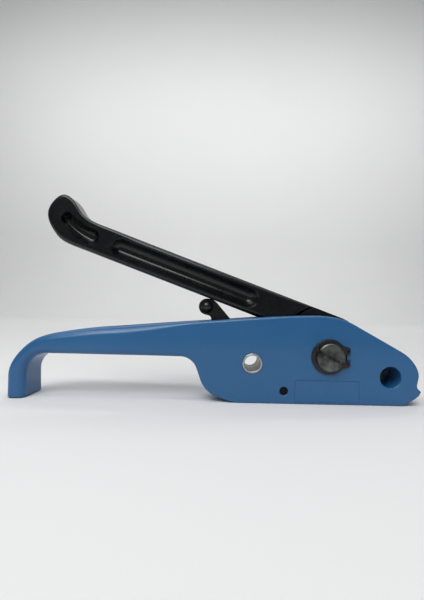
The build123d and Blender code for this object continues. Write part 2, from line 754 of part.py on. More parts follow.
def make_gripper():
    teeth = [(0, 0)]
    for tooth in range(gripper_tooth_count):
        angle = gripper_first_tooth + tooth * gripper_tooth_pitch
        for radius in (gripper_radius(angle) - gripper_tooth_depth, gripper_radius(angle)):
            teeth.append((radius * cos(radians(angle)), radius * sin(radians(angle))))
    tab = (cos(radians(gripper_tab_angle)), sin(radians(gripper_tab_angle)))
    tab_end = beyond((0, 0), tab, gripper_tab_length - gripper_tab_r)
    with BuildPart() as gripper:
        with BuildSketch(across(gripper_far_y)):
            with Locations((nose_hole_x, nose_hole_z)):
                Polygon(*teeth, align=None)
                Circle(gripper_hub_r)
                Polygon(beyond((0, 0), tab, 0, gripper_tab_root_r), beyond(tab_end, tab, 0, gripper_tab_r),
                        beyond(tab_end, tab, 0, -gripper_tab_r),
                        beyond((0, 0), tab, 0, -gripper_tab_root_r), align=None)
            with Locations((nose_hole_x + tab_end[0], nose_hole_z + tab_end[1])):
                Circle(gripper_tab_r)
        extrude(amount=gripper_far_y - gripper_near_y)
        with BuildSketch(across(gripper_near_y)):
            with Locations((nose_hole_x, nose_hole_z)):
                Circle(gripper_hub_r)
        extrude(amount=gripper_near_y - cheek_half - face_gap)
        with BuildSketch(across(gripper_far_y)):
            with Locations((nose_hole_x, nose_hole_z)):
                Circle(gripper_axle_r + running)
        extrude(amount=gripper_far_y - cheek_half, mode=Mode.SUBTRACT)
    return gripper.part


def axle_ring_far():
    """Y of the axle ring's far face."""
    return foot_end_y - axle_end_setback - axle_ring_thickness


def make_gripper_axle(end_y):
    with BuildPart() as axle:
        with BuildSketch(across(end_y)):
            with Locations((nose_hole_x, nose_hole_z)):
                Circle(gripper_axle_r)
        extrude(amount=end_y - slot_half)
        with BuildSketch(across(slot_half)):
            with Locations((nose_hole_x, nose_hole_z)):
                Circle(axle_head_r)
                RegularPolygon(axle_socket_r, 6, mode=Mode.SUBTRACT)
        extrude(amount=axle_head_height)
        with BuildSketch(across(axle_ring_far() + face_gap / 2)):
            with Locations((nose_hole_x, nose_hole_z)):
                Circle(gripper_axle_r + 1)
                Circle(gripper_axle_r - ring_groove_depth, mode=Mode.SUBTRACT)
        extrude(amount=axle_ring_thickness + face_gap, mode=Mode.SUBTRACT)
    return axle.part


def make_gripper_axle_ring():
    with BuildPart() as ring:
        with BuildSketch(across(axle_ring_far())):
            with Locations((nose_hole_x, nose_hole_z)):
                Circle(axle_ring_r)
                Circle(gripper_axle_r - ring_groove_depth + seated, mode=Mode.SUBTRACT)
                Rectangle(1.5 * axle_ring_r, ring_gap, align=(Align.MIN, Align.CENTER), mode=Mode.SUBTRACT)
        extrude(amount=axle_ring_thickness)
    return ring.part


def make_gripping_plate():
    with BuildPart() as plate:
        ridge_count = int((plate_end_x - plate_start_x) / plate_ridge)
        points = [(plate_end_x, foot_thickness), (plate_start_x, foot_thickness)]
        for ridge in range(ridge_count):
            points.append((plate_start_x + ridge * plate_ridge, plate_top - plate_tooth))
            points.append((plate_start_x + (ridge + 1) * plate_ridge, plate_top))
        points.append((plate_end_x, plate_top - plate_tooth))
        with BuildSketch(across(gripper_far_y)):
            Polygon(*points, align=None)
        extrude(amount=gripper_far_y - gripper_near_y)
        with BuildSketch(Plane.XY):
            with Locations(*screw_places()):
                Circle(screw_r + seated)
        extrude(amount=2 * plate_top, mode=Mode.SUBTRACT)
    return plate.part


def make_gripping_plate_screws():
    """Two countersunk screws, put in from under the foot."""
    head_low = free_gap
    screw_top = plate_top - plate_tooth - face_gap
    with BuildPart() as screws:
        for x, y in screw_places():
            with BuildSketch(Plane(origin=(x, y, 0), x_dir=(1, 0, 0), z_dir=(0, -1, 0))):
                Polygon((0, head_low), (screw_head_r, head_low), (screw_r, head_low + screw_head_height),
                        (screw_r, screw_top), (0, screw_top), align=None)
            revolve(axis=Axis((x, y, 0), (0, 0, 1)))
    return screws.part


wall_y = slot_half - face_gap
axle_end_y = foot_end_y - axle_end_setback
save(make_frame(), "frame")
save(make_bush(-slot_half, -ear_half - face_gap, -cheek_half), "near_bush")
save(make_bush(cheek_half, cheek_half + bush_flange_out, ear_half + face_gap), "far_bush")
save(make_windlass_shaft(), "windlass_shaft")
save(make_ratchet_wheel(), "ratchet_wheel")
save(make_ratchet_key(), "ratchet_key")
save(make_circlip(), "circlip")
save(make_pump_lever(), "pump_lever")
save(make_lever_bushes(), "lever_bushes")
save(make_ratchet_shims(), "ratchet_shims")
save(make_drive_pawl(), "drive_pawl")
save(rod(*drive_pivot(), drive_pin_r, -ear_half, ear_half), "drive_pawl_pin")
save(coil(drive_spring_plane(), drive_spring_r - wire_r, drive_spring_length), "drive_pawl_spring")
save(make_holding_pawl(), "holding_pawl")
pin_end_y = cheek_half - pin_recess
save(rod(holding_x, holding_z, holding_pin_r, -pin_end_y, pin_end_y), "holding_pawl_pin")
pin_running_r = holding_pin_r + running
save(sleeve(holding_x, holding_z, pin_running_r + sleeve_wall, pin_running_r,
            -wall_y, -ratchet_half - face_gap),
     "holding_pawl_spacer")
holding_spring_start = ratchet_half + free_gap
save(coil(spring_seat(holding_x, holding_spring_start, holding_z), holding_pin_r + free_gap,
          wall_y - holding_spring_start, legs=((wire_r, 0, 9.0), (5 * wire_r, 180, 12.0))),
     "holding_pawl_spring")
save(make_release_lever(), "release_lever")
save(make_release_cross_pin(), "release_cross_pin")
save(make_release_tube(), "release_tube")
tube_running_r = tube_r + running
save(sleeve(tube_x, tube_z, tube_running_r + sleeve_wall, tube_running_r, -wall_y, -release_half - face_gap),
     "release_spacer")
release_spring_start = release_half + free_gap
save(coil(spring_seat(tube_x, release_spring_start, tube_z), tube_r + free_gap,
          wall_y - release_spring_start, legs=((wire_r, -release_arm_angle, 18.0), (5 * wire_r, 90, 24.0))),
     "release_spring")
save(make_gripper(), "gripper")
save(make_gripper_axle(axle_end_y), "gripper_axle")
save(make_gripper_axle_ring(), "gripper_axle_ring")
gripper_spring_start = gripper_far_y + free_gap
gripper_spring_end = axle_ring_far() - axle_ring_thickness - free_gap
save(coil(spring_seat(nose_hole_x, gripper_spring_start, nose_hole_z), gripper_axle_r + free_gap,
          gripper_spring_end - gripper_spring_start,
          legs=((wire_r, -gripper_tab_angle, 14.0), (3 * wire_r, 90, 12.0))),
     "gripper_spring")
save(make_gripping_plate(), "gripping_plate")
save(make_gripping_plate_screws(), "gripping_plate_screws")
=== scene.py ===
from math import atan2, cos, degrees, hypot, pi, radians, sin, sqrt

import bmesh
import bpy
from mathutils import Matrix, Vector


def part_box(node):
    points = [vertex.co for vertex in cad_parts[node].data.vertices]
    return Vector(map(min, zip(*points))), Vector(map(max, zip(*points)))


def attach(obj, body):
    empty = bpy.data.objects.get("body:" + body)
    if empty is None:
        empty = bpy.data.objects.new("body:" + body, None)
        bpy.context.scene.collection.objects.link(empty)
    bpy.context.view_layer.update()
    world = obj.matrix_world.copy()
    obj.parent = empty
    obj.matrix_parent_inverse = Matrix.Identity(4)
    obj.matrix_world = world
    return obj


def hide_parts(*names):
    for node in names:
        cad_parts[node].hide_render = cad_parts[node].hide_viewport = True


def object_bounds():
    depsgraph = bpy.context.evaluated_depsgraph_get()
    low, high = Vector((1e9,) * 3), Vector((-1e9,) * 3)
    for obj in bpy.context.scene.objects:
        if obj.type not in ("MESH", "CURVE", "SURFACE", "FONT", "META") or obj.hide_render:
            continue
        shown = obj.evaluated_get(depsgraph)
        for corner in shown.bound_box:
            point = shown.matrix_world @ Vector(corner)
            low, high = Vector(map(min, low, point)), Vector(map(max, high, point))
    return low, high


# A windlass strapping tensioner.  X runs to the nose, Y away from the near side and Z up, as in the frame.
# Shapes are worked out in millimetres, and finish_surface turns each finished mesh into metres.

MM = 0.001
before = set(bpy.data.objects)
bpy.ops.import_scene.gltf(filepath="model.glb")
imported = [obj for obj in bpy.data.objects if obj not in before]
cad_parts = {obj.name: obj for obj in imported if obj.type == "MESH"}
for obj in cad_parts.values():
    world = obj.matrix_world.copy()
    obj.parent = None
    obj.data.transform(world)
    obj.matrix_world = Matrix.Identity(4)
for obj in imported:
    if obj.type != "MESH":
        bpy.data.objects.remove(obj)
cad_low, cad_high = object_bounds()


def middle(node):
    """Middle of a CAD node's box, in millimetres."""
    low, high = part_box(node)
    return (low + high) / 2 / MM


def size(node):
    """Size of a CAD node's box, in millimetres."""
    low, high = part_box(node)
    return (high - low) / MM


# ---- places read from the frame ------------------------------------------------
AXIS_Z = middle("ratchet_wheel").z
TUBE = middle("release_tube")
TUBE_R = size("release_tube").x / 2
PIN = middle("holding_pawl_pin")
PIN_R = size("holding_pawl_pin").x / 2
LEVER_PIN = middle("drive_pawl_pin")
HEAD = middle("release_cross_pin")
PLATE_SCREWS = middle("gripping_plate_screws")
BUSH_FLANGE = 2.4
BUSH_R = size("near_bush").x / 2 - BUSH_FLANGE
CHEEK = -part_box("near_bush")[0].y / MM  # from the middle to a cheek's outer face
SLOT = size("release_spacer").y + 3.2  # half width: the spacer, half the release arm and some play
SHAFT_R = 11.0
AXLE_R = 5.0
FIT = 0.02  # a bore in the casting has this much more radius than what sits in it

# ---- casting -------------------------------------------------------------------
HOOK_X = cad_low.x / MM
HOOK_INNER_X = HOOK_X + 13.4
HOOK_INNER_R = 16.0
HOOK_FOOT_Z = 1.0
LEG_DRAWN_Z = -12.0  # the leg is drawn down to here and cut off flat at HOOK_FOOT_Z
LEG_CORNER_R = 1.8
GRIP_Z = 35.8  # underside of the handle
SHOULDER_X = -119.0
SHOULDER_R = 14.0
SHOULDER_TURN = 20  # angle at which the shoulder's arc ends
BASE_START_X = -75.8
BASE_END_X = 54.8
NOSE_X = cad_high.x / MM
CREST_Z = AXIS_Z + 32.6
EDGE = 1.6  # rounding of the body's edges
HAND = 8.5  # rounding of the handle's upper edges

# ---- the hole in the nose, wide on the near side and stepped down to the axle -----
NOSE_HOLE_X = 48.7
NOSE_HOLE_Z = 22.7
NOSE_HOLE_R = 8.4
NOSE_HOLE_END_Y = 7.5
AXLE_HEAD_R = 6.52  # the seat of the axle's head
AXLE_HEAD_END_Y = 10.0

# ---- the foot that the strap runs over -------------------------------------------
FOOT_START_X = -44
FOOT_RISE_END_X = -27
FOOT_END_X = 62
FOOT_TOP = 6.5
FOOT_END_Y = cad_high.y / MM
SCREW_SPREAD = 8.5  # from the plate's middle to each screw
SCREW_HOLE = ((4.3, -0.5), (4.1, 0.0), (2.1, 2.1), (2.1, 8.0))  # radius and height

# ---- the slot's floor, from the handle's channel to the wall in front of the lever -
CHANNEL_START_X = -218
CHANNEL_START_Z = 57.5
CHANNEL_X = -199
CHANNEL_Z = 49.5
SILL_X = -101.5
SILL_Z = 57.0
SILL_DROP = 24.0
ROOM_X = -76
ROOM_Z = 3.6
HUB_CLEAR_R = 34.4
WALL_X = 28.2
WALL_Z = 18.3
WALL_RISE = 28.7
WALL_RUN = 20.1
SLOT_END_X = 50.5

# ---- pump lever, along (u) and across (v) a line from the windlass axis ------------
TILT = radians(20.0)
LEVER_HALF = 9.5
LEVER_TOP = 33.2
LEVER_BOTTOM = 9.0
LEVER_EDGE = 3.6
HUB_R = 33.2
HUB_BORE_R = 13.07
PAWL_PIN_BORE_R = 3.02
FORK_R = 36.0
FORK_HALF = 3.7
EAR_HALF = 7.2
STEP_R = 40.4
RAIL = 4.3  # height of the rails above and below the long pocket
LONG_POCKET_DEPTH = 5.8
SPOON_POCKET_DEPTH = 5.4
# Down a pocket's wall: share of the depth, and share of the way from the rim to the floor's edge.
POCKET_WALL = ((-0.26, -0.09), (0.0, -0.06), (0.04, -0.02), (0.14, 0.06), (0.34, 0.19), (0.55, 0.35),
               (0.74, 0.52), (0.87, 0.68), (0.95, 0.82), (0.99, 0.93), (1.0, 1.0))

# ---- release lever, along and across its arm from the tube -------------------------
ARM_ANGLE = 131.2
ARM_HALF = 3
ARM_EDGE = 0.7
ARM_RIGHT = 8.4
ARM_LEFT = 7.2
HEAD_R = 6.8
CRANK_HUB_R = 11.5
CRANK_BORE_R = 8.06
HEAD_BORE_R = 2.52


def hermite(start, way_in, end, way_out, step):
    """Points of a smooth curve from start to end, without its start."""
    span = hypot(end[0] - start[0], end[1] - start[1])
    count = max(3, int(span / step))
    points = []
    for k in range(1, count + 1):
        t = k / count
        a = 2 * t ** 3 - 3 * t ** 2 + 1
        b = t ** 3 - 2 * t ** 2 + t
        c = 3 * t ** 2 - 2 * t ** 3
        d = t ** 3 - t ** 2
        points.append(tuple(a * start[i] + b * span * way_in[i] + c * end[i] + d * span * way_out[i]
                            for i in (0, 1)))
    return points


def unit(way):
    """A direction of length 1."""
    length = hypot(*way)
    return way[0] / length, way[1] / length


def turn(centre, radius, angle):
    """The point at an angle in degrees on a circle."""
    return centre[0] + radius * cos(radians(angle)), centre[1] + radius * sin(radians(angle))


def way_at(angle):
    """The direction at an angle in degrees."""
    return cos(radians(angle)), sin(radians(angle))


class Outline:
    """A closed side view, walked with the material on the left.

    Each point keeps the rounding of its edge, which changes smoothly along a line, curve or arc.
    """

    def __init__(self, x, z, rounding):
        self.points = [(x, z, rounding)]

    def _add(self, places, rounding):
        first = self.points[-1][2]
        for k, (x, z) in enumerate(places, 1):
            t = k / len(places)
            self.points.append((x, z, first + (rounding - first) * t * t * (3 - 2 * t)))

    def line(self, x, z, rounding, step=5.0):
        x0, z0, _ = self.points[-1]
        count = max(1, int(hypot(x - x0, z - z0) / step))
        self._add([(x0 + (x - x0) * k / count, z0 + (z - z0) * k / count)
                   for k in range(1, count + 1)], rounding)

    def curve(self, way_in, x, z, way_out, rounding, step=1.5):
        x0, z0, _ = self.points[-1]
        self._add(hermite((x0, z0), unit(way_in), (x, z), unit(way_out), step), rounding)

    def arc(self, centre, radius, start, end, rounding, step=1.5):
        count = max(3, int(abs(radians(end - start)) * radius / step))
        self._add([turn(centre, radius, start + (end - start) * k / count)
                   for k in range(1, count + 1)], rounding)

    def corner(self, x, z, next_x, next_z, radius, rounding):
        """A line to a small rounded corner, ready to go on towards the next place."""
        x0, z0, _ = self.points[-1]
        before = unit((x0 - x, z0 - z))
        after = unit((next_x - x, next_z - z))
        start = (x + before[0] * radius, z + before[1] * radius)
        self.line(*start, rounding)
        places = []
        for k in range(1, 5):
            t = k / 4
            places.append(tuple((1 - t) ** 2 * start[i]
                                + 2 * t * (1 - t) * (x, z)[i]
                                + t * t * ((x, z)[i] + after[i] * radius) for i in (0, 1)))
        self._add(places, rounding)


def inset(points, share):
    """The outline's points moved into the material by a share of their rounding."""
    moved = []
    count = len(points)
    for k in range(count):
        x0, z0, _ = points[k - 1]
        x, z, rounding = points[k]
        x1, z1, _ = points[(k + 1) % count]
        a = unit((x - x0, z - z0))
        b = unit((x1 - x, z1 - z))
        way = unit((a[0] + b[0], a[1] + b[1]))
        reach = rounding * share / max(0.5, way[0] * a[0] + way[1] * a[1])
        moved.append((x - way[1] * reach, z + way[0] * reach))
    return moved


def loft(name, rings, place=lambda x, y, z: (x, y, z)):
    """A closed mesh in millimetres through rings of (x, y, z), with both ends capped."""
    mesh = bpy.data.meshes.new(name)
    bm = bmesh.new()
    rows = [[bm.verts.new(place(*p)) for p in ring] for ring in rings]
    for low, high in zip(rows, rows[1:]):
        for k in range(len(low)):
            j = (k + 1) % len(low)
            bm.faces.new((low[k], low[j], high[j], high[k]))
    bm.faces.new(rows[0][::-1])
    bm.faces.new(rows[-1])
    bmesh.ops.recalc_face_normals(bm, faces=bm.faces)
    bm.to_mesh(mesh)
    bm.free()
    piece = bpy.data.objects.new(name, mesh)
    bpy.context.scene.collection.objects.link(piece)
    return piece


def slab(name, points, near, far, place=lambda x, y, z: (x, y, z), steps=7):
    """A plate between two Y values whose long edges are rounded by each point's own rounding."""
    rings = []
    for k in range(steps + 1):
        angle = pi / 2 * k / steps
        ring = inset(points, 1 - sin(angle))
        rings.append([(x, near + p[2] * (1 - cos(angle)), z) for (x, z), p in zip(ring, points)])
    for k in range(steps, -1, -1):
        angle = pi / 2 * k / steps
        ring = inset(points, 1 - sin(angle))
        rings.append([(x, far - p[2] * (1 - cos(angle)), z) for (x, z), p in zip(ring, points)])
    return loft(name, rings, place)


def turned_solid(name, x, z, profile, sides=96):
    """A solid of revolution along Y from (radius, y) pairs."""
    rings = []
    for r, y in profile:
        rings.append([(x + r * cos(2 * pi * k / sides), y, z + r * sin(2 * pi * k / sides))
                      for k in range(sides)])
    return loft(name, rings)


def mouth(radius, face, way, rounding, steps=6):
    """Profile of a hole's rounded mouth at a face; way is the direction in Y out of the material."""
    profile = [(radius + rounding * 1.02, face + way * 3), (radius + rounding, face + way * 0.02)]
    for k in range(1, steps + 1):
        angle = pi / 2 * k / steps
        profile.append((radius + rounding * (1 - sin(angle)), face - way * rounding * (1 - cos(angle))))
    return profile


def through_hole(name, x, z, radius, rounding):
    """A cutter for a hole across both cheeks, with both mouths rounded."""
    profile = mouth(radius, -CHEEK, -1, rounding) + mouth(radius, CHEEK, 1, rounding)[::-1]
    return turned_solid(name, x, z, profile)


def plain_hole(name, x, z, radius, reach, sides):
    """A cutter for a hole with sharp mouths that reaches as far to both sides of the middle."""
    return turned_solid(name, x, z, [(radius, -reach), (radius, reach)], sides)


def combine(body, others, operation):
    """Cuts the others out of the body, or joins them to it, and removes them."""
    for other in others:
        change = body.modifiers.new(operation, "BOOLEAN")
        change.operation = operation
        change.solver = "EXACT"
        change.object = other
    bpy.context.view_layer.update()
    graph = bpy.context.evaluated_depsgraph_get()
    mesh = bpy.data.meshes.new_from_object(body.evaluated_get(graph))
    body.modifiers.clear()
    body.data = mesh
    for other in others:
        bpy.data.objects.remove(other)


def finish_surface(piece, angle=32):
    """Turns millimetres into metres, and shades smooth with flat faces flat and true corners sharp."""
    bm = bmesh.new()
    bm.from_mesh(piece.data)
    bmesh.ops.remove_doubles(bm, verts=bm.verts, dist=0.001)
    bmesh.ops.dissolve_degenerate(bm, edges=bm.edges, dist=0.0005)
    bmesh.ops.scale(bm, vec=(MM, MM, MM), verts=bm.verts)
    bm.to_mesh(piece.data)
    bm.free()
    piece.data.shade_smooth()
    piece.data.set_sharp_from_angle(angle=radians(angle))
    weighted = piece.modifiers.new("even shading", "WEIGHTED_NORMAL")
    weighted.keep_sharp = True
    weighted.weight = 90


# ---- shapes of the casting ---------------------------------------------------------
def casting_outline():
    """The side view, from the base round the nose, over the crest and handle, and back under the grip."""
    shape = Outline(BASE_START_X, 0, EDGE)
    shape.line(BASE_END_X, 0, EDGE)
    shape.curve((1, 0), 66.6, 4.3, (0.85, 0.6), EDGE)
    shape.curve((0.85, 0.6), NOSE_X - 0.7, 10.2, (0.35, 1), 0.9)
    shape.corner(NOSE_X, 11.6, NOSE_X - 3.0, 14.6, 0.6, 0.5)
    shape.line(NOSE_X - 2.7, 14.3, 0.9)
    shape.curve((-0.5, 1), NOSE_X - 1.8, 23.2, (0.05, 1), 1.3)
    shape.curve((0.05, 1), NOSE_X - 9.4, 38.5, (-0.72, 0.69), 1.7)
    shape.curve((-0.72, 0.69), NOSE_X - 17.7, 44.2, (-0.87, 0.48), 1.7)
    shape.line(19.5, CREST_Z - 6.6, 1.8)
    shape.curve((-0.87, 0.48), -10.0, CREST_Z, (-1, 0.0), 2.0)
    shape.curve((-1, -0.01), -100.0, 64.6, (-1, -0.08), 2.3, 3)
    shape.curve((-1, -0.08), -165.0, 59.2, (-1, -0.088), HAND - 1.0, 3)
    shape.curve((-1, -0.088), -207.0, 54.9, (-1, -0.16), HAND - 1.0, 3)
    shape.curve((-1, -0.16), -241.0, 44.0, (-0.78, -0.62), 5.5)
    shape.curve((-0.78, -0.62), HOOK_X, 18.0, (0, -1), 3.6)
    shape.line(HOOK_X, -2.0, 3.2, 2)
    shape.corner(HOOK_X, LEG_DRAWN_Z, HOOK_INNER_X, LEG_DRAWN_Z, LEG_CORNER_R, 1.3)
    shape.corner(HOOK_INNER_X, LEG_DRAWN_Z, HOOK_INNER_X, GRIP_Z, LEG_CORNER_R, 1.3)
    shape.line(HOOK_INNER_X, -2.0, 5.0, 2)
    shape.line(HOOK_INNER_X, GRIP_Z - HOOK_INNER_R, 6.0)
    shape.arc((HOOK_INNER_X + HOOK_INNER_R, GRIP_Z - HOOK_INNER_R), HOOK_INNER_R, 180, 90, 6.0)
    shape.line(-150.0, GRIP_Z, 4.5)
    shape.line(SHOULDER_X, GRIP_Z, 3.0)
    shape.arc((SHOULDER_X, GRIP_Z - SHOULDER_R), SHOULDER_R, 90, SHOULDER_TURN, 2.2)
    x, z, _ = shape.points[-1]
    shape.line(x + 10 * sin(radians(SHOULDER_TURN)), z - 10 * cos(radians(SHOULDER_TURN)), 2.0)
    shape.curve((0.34, -0.94), -92.0, 5.4, (0.87, -0.49), 1.8)
    shape.corner(BASE_START_X, 0, BASE_END_X, 0, 3.0, EDGE)
    return shape.points[1:]


def channel_floor(x):
    """Height of the slot's floor at X."""
    if x < CHANNEL_X:
        t = max(0.0, (x - CHANNEL_START_X) / (CHANNEL_X - CHANNEL_START_X))
        return CHANNEL_START_Z - (CHANNEL_START_Z - CHANNEL_Z) * t * t * (3 - 2 * t)
    if x < SILL_X:
        return CHANNEL_Z + (x - CHANNEL_X) * (SILL_Z - CHANNEL_Z) / (SILL_X - CHANNEL_X)
    if x < ROOM_X:
        return SILL_Z - (x - SILL_X) * SILL_DROP / (ROOM_X - SILL_X)
    if x < 0:
        return ROOM_Z
    if x < WALL_X:
        return AXIS_Z - sqrt(HUB_CLEAR_R ** 2 - x * x)
    return WALL_Z + (x - WALL_X) * WALL_RISE / WALL_RUN


def top_of(points, x):
    """Height of the casting's upper side at X."""
    crossings = []
    for (x0, z0, _), (x1, z1, _) in zip(points, points[1:] + points[:1]):
        if (x0 - x) * (x1 - x) <= 0 and x0 != x1:
            crossings.append(z0 + (z1 - z0) * (x - x0) / (x1 - x0))
    return max(crossings)


def slot_stations():
    """X places of the slot's rings, in order."""
    stations = [CHANNEL_START_X + k * 2.4 for k in range(59)]
    stations += [ROOM_X - 0.05, ROOM_X]
    stations += [ROOM_X + 4 + 4 * k for k in range(18)]
    stations += [2 * k for k in range(1, 15)]
    stations += [30 + 2.2 * k for k in range(10)]
    return sorted(x for x in stations if x < SLOT_END_X)


def slot_cutter(points, flare=1.6, fillet=2.5, least_depth=0.4, over=14):
    """The room between the cheeks, with rounded floor corners and rounded upper edges."""
    rings = []
    for x in slot_stations():
        floor = channel_floor(x)
        top = max(top_of(points, x), floor + least_depth)
        depth = top - floor
        low = min(fillet, depth * 0.45)
        high = min(flare, depth * 0.45)
        side = [(0.0, floor)]
        for k in range(6):
            angle = pi / 2 * k / 5
            side.append((SLOT - low + low * sin(angle), floor + low - low * cos(angle)))
        for k in range(7):
            angle = pi / 2 * k / 6
            side.append((SLOT + high - high * cos(angle), top - high + high * sin(angle)))
        side += [(SLOT + high * 1.02, top + over), (0.0, top + over)]
        ring = [(x, y, z) for y, z in side] + [(x, -y, z) for y, z in side[-2:0:-1]]
        rings.append(ring)
    return loft("slot room", rings)


def foot_body():
    """The shelf on the far side that the strap runs over."""
    bottom = 0.01
    corner_r = 1.2
    shape = Outline(FOOT_START_X, bottom, 0.5)
    shape.line(BASE_END_X, bottom, 0.9)
    shape.corner(FOOT_END_X, 3.0, FOOT_END_X, FOOT_TOP, corner_r, 0.8)
    shape.corner(FOOT_END_X, FOOT_TOP, FOOT_START_X, FOOT_TOP, corner_r, 0.8)
    shape.line(FOOT_RISE_END_X, FOOT_TOP, 0.9)
    shape.curve((-1, 0), FOOT_START_X, bottom, (-0.9, -0.35), 0.3)
    return slab("foot body", shape.points[:-1], CHEEK - 4, FOOT_END_Y - 0.05)


def foot_fillet(radius=3.0, steps=6):
    """The hollow rounding where the foot meets the far cheek."""
    rings = []
    for x in (FOOT_RISE_END_X - 2.0, FOOT_END_X - 1.0):
        ring = [(x, CHEEK - 1, FOOT_TOP - 1), (x, CHEEK + radius + 1, FOOT_TOP - 1)]
        for k in range(steps + 1):
            angle = pi / 2 * k / steps
            ring.append((x, CHEEK + radius * (1 - sin(angle)), FOOT_TOP + radius * (1 - cos(angle))))
        ring.append((x, CHEEK - 1, FOOT_TOP + radius))
        rings.append(ring)
    return loft("foot fillet", rings)


def badge_line(width=51.0, height=17.0, x=-1.8, z=10.6, line=0.55, depth=0.28):
    """Cutters for the thin border of the bare field on the near cheek."""
    bars = []
    for long_way in (0, 1):
        for side in (-1, 1):
            half_x = width / 2 if long_way == 0 else line / 2
            half_z = line / 2 if long_way == 0 else height / 2
            at_x = x if long_way == 0 else x + side * width / 2
            at_z = z + side * height / 2 if long_way == 0 else z
            grow = [(depth, -0.1), (0.0, 0.0), (-1.0, 0.15)]
            rings = [[(at_x + sx * (half_x + more), -CHEEK + y, at_z + sz * (half_z + more))
                      for sx, sz in ((-1, -1), (1, -1), (1, 1), (-1, 1))] for y, more in grow]
            bars.append(loft("badge bar", rings))
    return bars


def toe_cutter(over=4):
    """Ends the hook's leg, which is drawn too long, in a flat foot."""
    low_x = HOOK_X - over
    high_x = HOOK_INNER_X + over
    half = CHEEK + over
    rings = []
    for z in (LEG_DRAWN_Z - 8, HOOK_FOOT_Z):
        rings.append([(low_x, -half, z), (high_x, -half, z), (high_x, half, z), (low_x, half, z)])
    return loft("toe cut", rings)


def nose_cutter():
    """The open hole on the near side, the seat of the axle's head and the axle's bore."""
    step = 0.05
    profile = mouth(NOSE_HOLE_R, -CHEEK, -1, 1.0)
    profile += [(NOSE_HOLE_R, NOSE_HOLE_END_Y), (AXLE_HEAD_R, NOSE_HOLE_END_Y + step)]
    profile += [(AXLE_HEAD_R, AXLE_HEAD_END_Y), (AXLE_R + FIT, AXLE_HEAD_END_Y + step)]
    profile.append((AXLE_R + FIT, CHEEK + 2))
    return turned_solid("nose bore", NOSE_HOLE_X, NOSE_HOLE_Z, profile)


def screw_cutters(sides=32):
    """Countersunk holes in the foot for the gripping plate's screws."""
    cutters = []
    y = PLATE_SCREWS.y
    for way in (-1, 1):
        x = PLATE_SCREWS.x + way * SCREW_SPREAD
        rings = [[(x + r * cos(2 * pi * k / sides), y + r * sin(2 * pi * k / sides), z)
                  for k in range(sides)] for r, z in SCREW_HOLE]
        cutters.append(loft("screw hole", rings))
    return cutters


def make_casting():
    points = casting_outline()
    body = slab("frame_casting", points, -CHEEK, CHEEK)
    combine(body, [foot_body(), foot_fillet()], "UNION")
    cutters = [toe_cutter(), slot_cutter(points)]
    cutters.append(through_hole("windlass bore", 0, AXIS_Z, BUSH_R + FIT, 0.6))
    cutters.append(through_hole("tube bore", TUBE.x, TUBE.z, TUBE_R + FIT, 0.5))
    cutters.append(through_hole("pin bore", PIN.x, PIN.z, PIN_R + FIT, 0.7))
    cutters.append(nose_cutter())
    cutters += badge_line()
    cutters += screw_cutters()
    combine(body, cutters, "DIFFERENCE")
    finish_surface(body)
    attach(body, "frame")
    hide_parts("frame")
    return body


# ---- shapes of the pump lever -------------------------------------------------------
def lever_place(u, y, v):
    """From the lever's own (u, y, v) to X, Y and Z."""
    return -u * cos(TILT) + v * sin(TILT), y, AXIS_Z + u * sin(TILT) + v * cos(TILT)


def lever_outline():
    """The side view in (u, v), from the hub under the beam, round the spoon and back over the hub."""
    meet = sqrt(HUB_R ** 2 - LEVER_BOTTOM ** 2)
    neck = meet + 6
    shape = Outline(neck, LEVER_BOTTOM, LEVER_EDGE)
    shape.line(220.0, LEVER_BOTTOM, LEVER_EDGE, 6)
    shape.curve((1, 0), 242.5, 12.4, (0.84, 0.54), 4.6)
    shape.curve((0.84, 0.54), 256.6, 29.0, (0.10, 1), 5.6)
    shape.curve((0.10, 1), 254.2, 39.8, (-0.42, 0.91), 5.2)
    shape.curve((-0.42, 0.91), 246.4, 45.8, (-1, 0.06), 2.6)
    shape.curve((-1, 0.06), 232.0, 38.7, (-0.78, -0.62), 1.6)
    shape.curve((-0.75, -0.66), 202.0, LEVER_TOP, (-1, 0), 2.6)
    shape.line(170.0, LEVER_TOP, LEVER_EDGE, 6)
    shape.line(60.0, LEVER_TOP, LEVER_EDGE, 6)
    shape.line(0.0, LEVER_TOP, 1.5, 6)
    start = degrees(atan2(LEVER_BOTTOM, meet)) + 1.5
    shape.arc((0, 0), HUB_R, 90, 360 + start, 1.5, 3.0)
    shape.curve((0.24, 0.97), neck, LEVER_BOTTOM, (1, 0), LEVER_EDGE, 0.8)
    return shape.points[:-1]


def pocket_cutter(name, outer, inner, side, depth):
    """A scooped recess: steep at its rim, widely rounded into a narrow flat floor."""
    loops = []
    for drop, share in POCKET_WALL:
        y = side * (LEVER_HALF - drop * depth)
        loops.append([(a[0] + (b[0] - a[0]) * share, y, a[1] + (b[1] - a[1]) * share)
                      for a, b in zip(outer, inner)])
    return loft(name, loops, lever_place)


def track(left, right, count=28, cap=9):
    """A closed loop round a curved strip, given its two long edges as functions of 0 to 1."""
    loop = [left(k / count) for k in range(count + 1)]
    loop += round_end(left(1), right(1), left(1 - 1 / count), cap)
    loop += [right(1 - k / count) for k in range(count + 1)]
    loop += round_end(right(0), left(0), right(1 / count), cap)
    return loop


